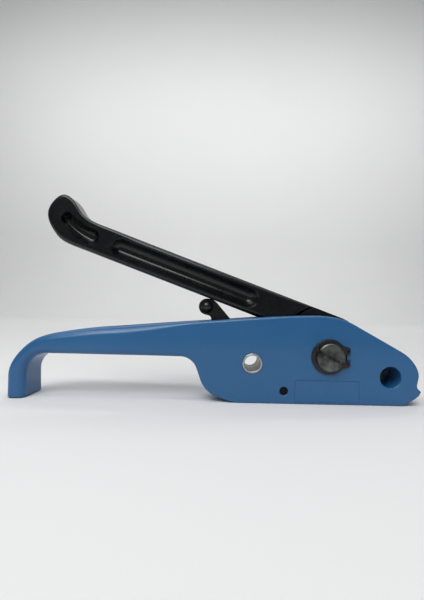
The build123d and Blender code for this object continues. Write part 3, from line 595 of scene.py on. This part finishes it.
def round_end(start, end, before, cap):
    """Points of a half round from start to end, bulging away from before."""
    middle_point = ((start[0] + end[0]) / 2, (start[1] + end[1]) / 2)
    half = ((start[0] - end[0]) / 2, (start[1] - end[1]) / 2)
    out = (-half[1], half[0])
    if (out[0] * (start[0] - before[0]) + out[1] * (start[1] - before[1])) < 0:
        out = (half[1], -half[0])
    points = []
    for k in range(1, cap):
        angle = pi * k / cap
        points.append((middle_point[0] + half[0] * cos(angle) + out[0] * sin(angle),
                       middle_point[1] + half[1] * cos(angle) + out[1] * sin(angle)))
    return points


def strip(start, end, low_start, low_end, high_start, high_end, bend=0.0):
    """A loop round a pocket along the lever, whose far end may bend up more and more."""
    def edge(v_start, v_end):
        return lambda t: (start + (end - start) * t, v_start + (v_end - v_start) * t + bend * t ** 2.4)
    return track(edge(low_start, low_end), edge(high_start, high_end))


def long_pocket(side):
    low = LEVER_BOTTOM + RAIL
    high = LEVER_TOP - RAIL
    outer = strip(76.5, 188.5, low, low, high, high)
    inner = strip(78.0, 190.0, 19.4, 19.4, 21.8, 21.8)
    return pocket_cutter("long pocket", outer, inner, side, LONG_POCKET_DEPTH)


def spoon_pocket(side, bend=5.0):
    low = LEVER_BOTTOM + RAIL
    high = LEVER_TOP - RAIL - 0.6
    outer = strip(215.0, 237.5, low + 0.4, low + 4.6, high, high, bend)
    inner = strip(214.5, 240.5, 19.6, 21.6, 22.2, 24.0, bend)
    return pocket_cutter("spoon pocket", outer, inner, side, SPOON_POCKET_DEPTH)


def ear_step(side):
    """Thins the hub to its ears, with a rounded step round them."""
    steps = [(2.6, LEVER_HALF + 2), (2.5, LEVER_HALF + 0.01), (1.9, LEVER_HALF - 0.2)]
    steps += [(1.4, LEVER_HALF - 0.7), (0.7, EAR_HALF + 0.6), (0.2, EAR_HALF + 0.15), (-0.6, EAR_HALF)]
    profile = [(STEP_R + more, side * y) for more, y in steps]
    return turned_solid("ear step", 0, AXIS_Z, profile, 128)


def make_lever():
    body = slab("lever_casting", lever_outline(), -LEVER_HALF, LEVER_HALF, lever_place)
    cutters = []
    for side in (-1, 1):
        cutters.append(long_pocket(side))
        cutters.append(spoon_pocket(side))
        cutters.append(ear_step(side))
    reach = LEVER_HALF + 1
    cutters.append(plain_hole("fork room", 0, AXIS_Z, FORK_R, FORK_HALF, 128))
    cutters.append(plain_hole("hub bore", 0, AXIS_Z, HUB_BORE_R, reach, 96))
    cutters.append(plain_hole("pawl pin bore", LEVER_PIN.x, LEVER_PIN.z, PAWL_PIN_BORE_R, reach, 48))
    combine(body, cutters, "DIFFERENCE")
    finish_surface(body)
    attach(body, "pump_lever")
    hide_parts("pump_lever")
    return body


# ---- small pieces --------------------------------------------------------------------
def hub_angle(point):
    """Angle in degrees of a point round the tube's axis."""
    return degrees(atan2(point[1] - TUBE.z, point[0] - TUBE.x))


def toe_points():
    """Direction and corners of the short toe, which points from the tube at the holding pawl's pin."""
    way = unit((PIN.x - TUBE.x, PIN.z - TUBE.z))
    across = (way[1], -way[0])
    corners = ((0, 6.5), (20, 6.3), (22.9, 3.3), (20, 0.3), (11.4, 0.3))
    return way, [(TUBE.x + way[0] * s + across[0] * t, TUBE.z + way[1] * s + across[1] * t)
                 for s, t in corners]


def release_outline():
    """The bell crank: an arm with a round head above, a hub on the tube and a short toe below."""
    arm = radians(ARM_ANGLE)
    way = (cos(arm), sin(arm))
    side = (-sin(arm), cos(arm))
    back = (-way[0], -way[1])
    along = (HEAD.x - TUBE.x) * way[0] + (HEAD.z - TUBE.z) * way[1]
    off = (HEAD.x - TUBE.x) * side[0] + (HEAD.z - TUBE.z) * side[1]

    def at(s, t):
        return TUBE.x + way[0] * s + side[0] * t, TUBE.z + way[1] * s + side[1] * t

    right = off - ARM_RIGHT
    left = off + ARM_LEFT
    base = degrees(arm)
    head = at(along, off)
    hub = (TUBE.x, TUBE.z)
    shape = Outline(*at(4.0, right), ARM_EDGE)
    shape.line(*at(along - 3.0, right), ARM_EDGE)
    shape.curve(way, *turn(head, HEAD_R, base - 40), way_at(base + 50), ARM_EDGE, 0.7)
    shape.arc(head, HEAD_R, base - 40, base + 118, ARM_EDGE, 0.8)
    shape.curve(way_at(base + 208), *at(along - 8.2, off + 3.2), back, 0.6, 0.7)
    bulge = (back[0] + side[0] * 0.4, back[1] + side[1] * 0.4)
    shape.curve(back, *at(along - 13.5, left), bulge, ARM_EDGE, 0.7)
    shape.line(*at(6.0, left), ARM_EDGE)

    toe, foot = toe_points()
    start = degrees(atan2(left, 6.0)) + base
    shape.arc(hub, CRANK_HUB_R, start, hub_angle(foot[0]) + 360 + 8, ARM_EDGE, 1.2)
    shape.line(*foot[1], ARM_EDGE)
    shape.curve(toe, *foot[3], (-toe[0], -toe[1]), ARM_EDGE, 0.7)
    shape.line(*foot[4], ARM_EDGE)
    stop = hub_angle(at(4.0, right)) + 360
    shape.arc(hub, CRANK_HUB_R, hub_angle(foot[4]) + 360, stop - 4, ARM_EDGE, 1.2)
    return shape.points


def make_release_lever():
    body = slab("release_arm", release_outline(), -ARM_HALF, ARM_HALF, steps=4)
    reach = ARM_HALF + 2
    bore = plain_hole("crank bore", TUBE.x, TUBE.z, CRANK_BORE_R, reach, 64)
    hole = plain_hole("head bore", HEAD.x, HEAD.z, HEAD_BORE_R, reach, 32)
    combine(body, [bore, hole], "DIFFERENCE")
    finish_surface(body)
    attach(body, "release_lever")
    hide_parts("release_lever")
    return body


def make_circlip():
    """A heavy external retaining ring, thick at its back, with two lugs beside its gap."""
    edge = 0.38
    gap = 1.9  # half of the opening between the lugs
    inner_r = SHAFT_R - 0.49
    outer_r = 13.85
    outer_centre = (-0.85, AXIS_Z)
    lug_x = 15.8
    lug_rise = 7.6
    meet = turn(outer_centre, outer_r, 42)
    opening = degrees(atan2(gap, inner_r))
    shape = Outline(inner_r * cos(radians(opening)), AXIS_Z + gap, edge)
    shape.corner(lug_x, AXIS_Z + gap, lug_x, AXIS_Z + lug_rise, 0.8, edge)
    shape.corner(lug_x, AXIS_Z + lug_rise, *meet, 1.3, edge)
    shape.line(*meet, edge, 1.0)
    shape.arc(outer_centre, outer_r, 42, 318, edge, 0.9)
    shape.corner(lug_x, AXIS_Z - lug_rise, lug_x, AXIS_Z - gap, 1.3, edge)
    shape.corner(lug_x, AXIS_Z - gap, 0.0, AXIS_Z - gap, 0.8, edge)
    shape.line(inner_r * cos(radians(opening)), AXIS_Z - gap, edge)
    shape.arc((0.0, AXIS_Z), inner_r, -opening, -360 + opening, edge, 0.9)
    low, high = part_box("circlip")
    near = low.y / MM
    far = high.y / MM
    body = slab("retaining_ring", shape.points[:-1], near, far, steps=4)
    hole = [(0.9, near - 2), (0.9, far + 2)]
    holes = [turned_solid("lug hole", 13.6, AXIS_Z + rise, hole, 32) for rise in (4.6, -4.6)]
    combine(body, holes, "DIFFERENCE")
    finish_surface(body)
    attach(body, "windlass")
    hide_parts("circlip")
    return body


# ---- materials ------------------------------------------------------------------------
STEEL_DULL = (0.40, 0.40, 0.41)
STEEL_LIGHT = (0.58, 0.58, 0.59)


class Finish:
    """Builds one node material in object space, so that the pattern moves with the piece."""

    def __init__(self, name, roughness, metallic=0.0, coat=0.0, coat_roughness=0.1, specular=0.5):
        self.material = bpy.data.materials.new(name)
        self.material.use_nodes = True
        self.tree = self.material.node_tree
        self.shader = self.tree.nodes["Principled BSDF"]
        self.shader.inputs["Metallic"].default_value = metallic
        self.shader.inputs["Roughness"].default_value = roughness
        self.shader.inputs["Coat Weight"].default_value = coat
        self.shader.inputs["Coat Roughness"].default_value = coat_roughness
        self.shader.inputs["Specular IOR Level"].default_value = specular
        self.place = self.tree.nodes.new("ShaderNodeTexCoord").outputs["Object"]
        self.normal = None

    def noise(self, scale, detail, stretch=None):
        node = self.tree.nodes.new("ShaderNodeTexNoise")
        node.inputs["Scale"].default_value = scale
        node.inputs["Detail"].default_value = detail
        node.inputs["Roughness"].default_value = 0.55
        source = self.place
        if stretch:
            mapping = self.tree.nodes.new("ShaderNodeMapping")
            mapping.inputs["Scale"].default_value = stretch
            self.tree.links.new(source, mapping.inputs["Vector"])
            source = mapping.outputs["Vector"]
        self.tree.links.new(source, node.inputs["Vector"])
        return node.outputs["Fac"]

    def ramp(self, source, stops):
        """Colours at places from 0 to 1 of the source, blended between them."""
        node = self.tree.nodes.new("ShaderNodeValToRGB")
        while len(node.color_ramp.elements) < len(stops):
            node.color_ramp.elements.new(0.5)
        for element, (position, colour) in zip(node.color_ramp.elements, stops):
            element.position = position
            element.color = (*colour, 1)
        self.tree.links.new(source, node.inputs["Fac"])
        return node.outputs["Color"]

    def mix(self, share, base, colour):
        """The base, and the colour where share is 1; the node's colour sockets go by number only."""
        share_in = 0
        base_in = 6
        colour_in = 7
        colour_out = 2
        node = self.tree.nodes.new("ShaderNodeMix")
        node.data_type = "RGBA"
        self.tree.links.new(share, node.inputs[share_in])
        self.tree.links.new(base, node.inputs[base_in])
        node.inputs[colour_in].default_value = (*colour, 1)
        return node.outputs[colour_out]

    def bump(self, source, strength, distance):
        node = self.tree.nodes.new("ShaderNodeBump")
        node.inputs["Strength"].default_value = strength
        node.inputs["Distance"].default_value = distance
        self.tree.links.new(source, node.inputs["Height"])
        if self.normal:
            self.tree.links.new(self.normal, node.inputs["Normal"])
        self.normal = node.outputs["Normal"]

    def done(self, colour, roughness=None):
        """Joins the colour, roughness and bumps to the shader."""
        self.tree.links.new(colour, self.shader.inputs["Base Color"])
        if roughness:
            self.tree.links.new(roughness, self.shader.inputs["Roughness"])
        if self.normal:
            self.tree.links.new(self.normal, self.shader.inputs["Normal"])
        return self.material


def grey(value):
    return (value, value, value)


def body_paint():
    finish = Finish("blue enamel", 0.34, coat=0.3, coat_roughness=0.1, specular=0.4)
    cloud = finish.noise(14, 3)
    base = finish.ramp(cloud, [(0.3, (0.017, 0.108, 0.265)), (0.7, (0.021, 0.122, 0.293))])
    speck = finish.ramp(finish.noise(900, 2), [(0.62, grey(0)), (0.75, grey(0.25))])
    colour = finish.mix(speck, base, (0.035, 0.155, 0.34))
    rough = finish.ramp(finish.noise(60, 4), [(0.3, grey(0.28)), (0.75, grey(0.38))])
    finish.bump(finish.noise(420, 2), 0.10, 0.0004)
    finish.bump(finish.noise(70, 2), 0.10, 0.0010)
    return finish.done(colour, rough)


def lever_paint():
    finish = Finish("black lever paint", 0.26, specular=0.45)
    shades = [(0.3, (0.0016, 0.0020, 0.0024)), (0.7, (0.0032, 0.0038, 0.0042))]
    base = finish.ramp(finish.noise(24, 4), shades)
    dust = finish.ramp(finish.noise(500, 3), [(0.60, grey(0)), (0.8, grey(0.35))])
    colour = finish.mix(dust, base, (0.006, 0.007, 0.008))
    rough = finish.ramp(finish.noise(110, 4), [(0.3, grey(0.21)), (0.75, grey(0.31))])
    finish.bump(finish.noise(650, 3), 0.06, 0.0004)
    return finish.done(colour, rough)


def black_steel():
    finish = Finish("blackened steel", 0.4, specular=0.5)
    base = finish.ramp(finish.noise(90, 5), [(0.3, grey(0.004)), (0.7, (0.010, 0.010, 0.011))])
    rough = finish.ramp(finish.noise(240, 4), [(0.3, grey(0.22)), (0.7, grey(0.36))])
    finish.bump(finish.noise(900, 3), 0.14, 0.0003)
    return finish.done(base, rough)


def painted_shade_steel():
    """Near-black steel that hardly reflects: painted shade for parts that sit deep in holes and gaps."""
    finish = Finish("painted shade steel", 0.6, specular=0.15)
    # The near-black colour is painted shade, not the steel's own colour.
    shades = [(0.3, (0.003, 0.0028, 0.0025)), (0.7, (0.008, 0.007, 0.006))]
    base = finish.ramp(finish.noise(120, 4), shades)
    return finish.done(base)


def bright_steel():
    finish = Finish("machined steel", 0.3, metallic=1.0)
    base = finish.ramp(finish.noise(60, 5), [(0.25, STEEL_DULL), (0.75, STEEL_LIGHT)])
    stain = finish.ramp(finish.noise(24, 5), [(0.55, grey(0)), (0.8, grey(0.5))])
    colour = finish.mix(stain, base, (0.30, 0.285, 0.27))
    rough = finish.ramp(finish.noise(130, 3, stretch=(1, 14, 1)), [(0.3, grey(0.24)), (0.7, grey(0.42))])
    finish.bump(finish.noise(260, 3, stretch=(1, 9, 1)), 0.16, 0.0002)
    return finish.done(colour, rough)


def shaft_steel():
    finish = Finish("oiled windlass steel", 0.35, metallic=0.9)
    shades = [(0.36, (0.020, 0.022, 0.021)), (0.5, (0.13, 0.14, 0.13)), (0.75, (0.28, 0.30, 0.28))]
    base = finish.ramp(finish.noise(70, 5), shades)
    rough = finish.ramp(finish.noise(160, 4), [(0.3, grey(0.22)), (0.7, grey(0.42))])
    finish.bump(finish.noise(320, 3), 0.2, 0.0003)
    return finish.done(base, rough)


def spring_steel():
    finish = Finish("spring wire", 0.32, metallic=1.0)
    base = finish.ramp(finish.noise(120, 4), [(0.3, (0.20, 0.20, 0.21)), (0.7, (0.34, 0.34, 0.35))])
    rough = finish.ramp(finish.noise(260, 3), [(0.3, grey(0.24)), (0.7, grey(0.38))])
    return finish.done(base, rough)


def tube_steel():
    """Bright rim, with painted shade in the bore, told apart by its distance from the tube's axis."""
    bore_share = 0.80  # the bore's radius as a share of the tube's
    finish = Finish("hollow rivet steel", 0.3, metallic=1.0)
    tree = finish.tree
    offset = tree.nodes.new("ShaderNodeVectorMath")
    offset.operation = "SUBTRACT"
    offset.inputs[1].default_value = (TUBE.x * MM, 0, TUBE.z * MM)
    tree.links.new(finish.place, offset.inputs[0])
    flat = tree.nodes.new("ShaderNodeVectorMath")
    flat.operation = "MULTIPLY"
    flat.inputs[1].default_value = (1 / (TUBE_R * MM), 0, 1 / (TUBE_R * MM))
    tree.links.new(offset.outputs["Vector"], flat.inputs[0])
    length = tree.nodes.new("ShaderNodeVectorMath")
    length.operation = "LENGTH"
    tree.links.new(flat.outputs["Vector"], length.inputs[0])
    # Painted shade: inside 0.8 of the tube's radius the bore is coloured near-black brown.
    bore_shade_mask = finish.ramp(length.outputs["Value"], [(0.79, grey(1)), (bore_share, grey(0))])
    bright = finish.ramp(finish.noise(60, 5), [(0.25, STEEL_DULL), (0.75, STEEL_LIGHT)])
    colour = finish.mix(bore_shade_mask, bright, (0.012, 0.009, 0.007))
    rough = finish.ramp(finish.noise(130, 3), [(0.3, grey(0.24)), (0.7, grey(0.40))])
    return finish.done(colour, rough)


def bronze():
    finish = Finish("sintered bronze", 0.4, metallic=1.0)
    base = finish.ramp(finish.noise(150, 5), [(0.3, (0.30, 0.17, 0.07)), (0.7, (0.46, 0.28, 0.12))])
    rough = finish.ramp(finish.noise(300, 3), [(0.3, grey(0.34)), (0.7, grey(0.5))])
    finish.bump(finish.noise(1200, 2), 0.2, 0.0002)
    return finish.done(base, rough)


def paint(piece, material):
    piece.data.materials.clear()
    piece.data.materials.append(material)
    for polygon in piece.data.polygons:
        polygon.material_index = 0


def backdrop_finish():
    finish = Finish("pale floor", 0.85, specular=0.2)
    base = finish.ramp(finish.noise(2.0, 2), [(0.3, grey(0.80)), (0.7, grey(0.815))])
    return finish.done(base)


# ---- pieces ----------------------------------------------------------------------------
PAINTS = {
    "body": body_paint(),
    "lever": lever_paint(),
    "black": black_steel(),
    "dark": painted_shade_steel(),
    "bright": bright_steel(),
    "shaft": shaft_steel(),
    "spring": spring_steel(),
    "tube": tube_steel(),
    "bronze": bronze(),
}
paint(make_casting(), PAINTS["body"])
paint(make_lever(), PAINTS["lever"])
paint(make_release_lever(), PAINTS["black"])
paint(make_circlip(), PAINTS["black"])

NODE_PAINTS = {
    "tube": ["release_tube"],
    "bright": ["drive_pawl_pin", "gripping_plate", "ratchet_key", "release_spacer",
               "holding_pawl_spacer", "ratchet_shims"],
    "shaft": ["windlass_shaft", "ratchet_wheel", "gripper", "gripper_axle"],
    # Painted shade: the pin at the bottom of its hole and the bushes in the gap round the ring are made
    # near-black so these hollows read as shade.
    "dark": ["holding_pawl_pin", "near_bush", "far_bush"],
    "black": ["release_cross_pin", "drive_pawl", "holding_pawl", "gripper_axle_ring",
              "gripping_plate_screws"],
    "spring": ["release_spring", "holding_pawl_spring", "drive_pawl_spring", "gripper_spring"],
    "bronze": ["lever_bushes"],
}
for finish_name, names in NODE_PAINTS.items():
    for node_name in names:
        paint(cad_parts[node_name], PAINTS[finish_name])


# ---- stage -----------------------------------------------------------------------------
# Sizes and places of the stage are in metres.
FLOOR_FRONT_Y = -0.45
FLOOR_BACK_Y = 1.6
FLOOR_HALF = 4.0
WALL_BEND = 0.5
WALL_TOP = 2.4
WORLD_COLOUR = (0.95, 0.97, 1.0, 1)
WORLD_STRENGTH = 0.14
TOOL = (-0.08, 0.0, 0.05)
WALL = (-0.1, 2.1, 0.5)
# Each light's name, place, target, width, height and power in watts.
LIGHTS = (
    ("top softbox", (-0.25, 0.10, 0.95), TOOL, 1.4, 1.0, 2.4),
    ("key softbox", (-0.35, -0.85, 0.95), TOOL, 0.9, 0.6, 9.0),
    ("overhead strip", (-0.09, -0.22, 0.75), TOOL, 1.1, 0.10, 1.5),
    ("back wash", (-0.1, 0.9, 1.6), WALL, 3.5, 0.6, 26),
)
CAMERA_PLACE = (-0.085, -0.3145, 0.076)
CAMERA_ROLL = -1.2  # in degrees
CAMERA_SENSOR = 36.0  # sensor and lens are in millimetres
CAMERA_LENS = 22.5
CAMERA_SHIFT_X = -0.0196
CAMERA_SHIFT_Y = 0.0117


def make_backdrop():
    """A pale floor that curves up into a wall well behind the tool."""
    steps = 12
    profile = [(FLOOR_FRONT_Y, 0.0), (FLOOR_BACK_Y, 0.0)]
    for k in range(1, steps + 1):
        angle = pi / 2 * k / steps
        profile.append((FLOOR_BACK_Y + WALL_BEND * sin(angle), WALL_BEND * (1 - cos(angle))))
    profile.append((FLOOR_BACK_Y + WALL_BEND, WALL_TOP))
    mesh = bpy.data.meshes.new("backdrop")
    bm = bmesh.new()
    rows = [[bm.verts.new((x, y, z)) for x in (-FLOOR_HALF, FLOOR_HALF)] for y, z in profile]
    for low, high in zip(rows, rows[1:]):
        bm.faces.new((low[0], low[1], high[1], high[0]))
    bm.to_mesh(mesh)
    bm.free()
    mesh.shade_smooth()
    floor = bpy.data.objects.new("backdrop", mesh)
    bpy.context.scene.collection.objects.link(floor)
    paint(floor, backdrop_finish())


def area_light(name, place, target, width, height, power):
    data = bpy.data.lights.new(name, "AREA")
    data.shape = "RECTANGLE"
    data.size = width
    data.size_y = height
    data.energy = power
    lamp = bpy.data.objects.new(name, data)
    lamp.location = place
    lamp.rotation_euler = (Vector(target) - Vector(place)).to_track_quat("-Z", "Y").to_euler()
    bpy.context.scene.collection.objects.link(lamp)


def make_lights():
    world = bpy.data.worlds.new("studio")
    world.use_nodes = True
    background = world.node_tree.nodes["Background"]
    background.inputs["Color"].default_value = WORLD_COLOUR
    background.inputs["Strength"].default_value = WORLD_STRENGTH
    bpy.context.scene.world = world
    for light in LIGHTS:
        area_light(*light)


def make_camera():
    """In front of the handle, level, with the picture's small roll and shift."""
    data = bpy.data.cameras.new("camera")
    data.sensor_fit = "VERTICAL"
    data.sensor_height = CAMERA_SENSOR
    data.lens = CAMERA_LENS
    data.shift_x = CAMERA_SHIFT_X
    data.shift_y = CAMERA_SHIFT_Y
    data.clip_start = 0.01
    camera = bpy.data.objects.new("camera", data)
    camera.location = CAMERA_PLACE
    camera.rotation_euler = (radians(90), radians(CAMERA_ROLL), 0)
    bpy.context.scene.collection.objects.link(camera)
    bpy.context.scene.camera = camera


make_backdrop()
make_lights()
make_camera()
bpy.context.scene.view_settings.view_transform = "Standard"
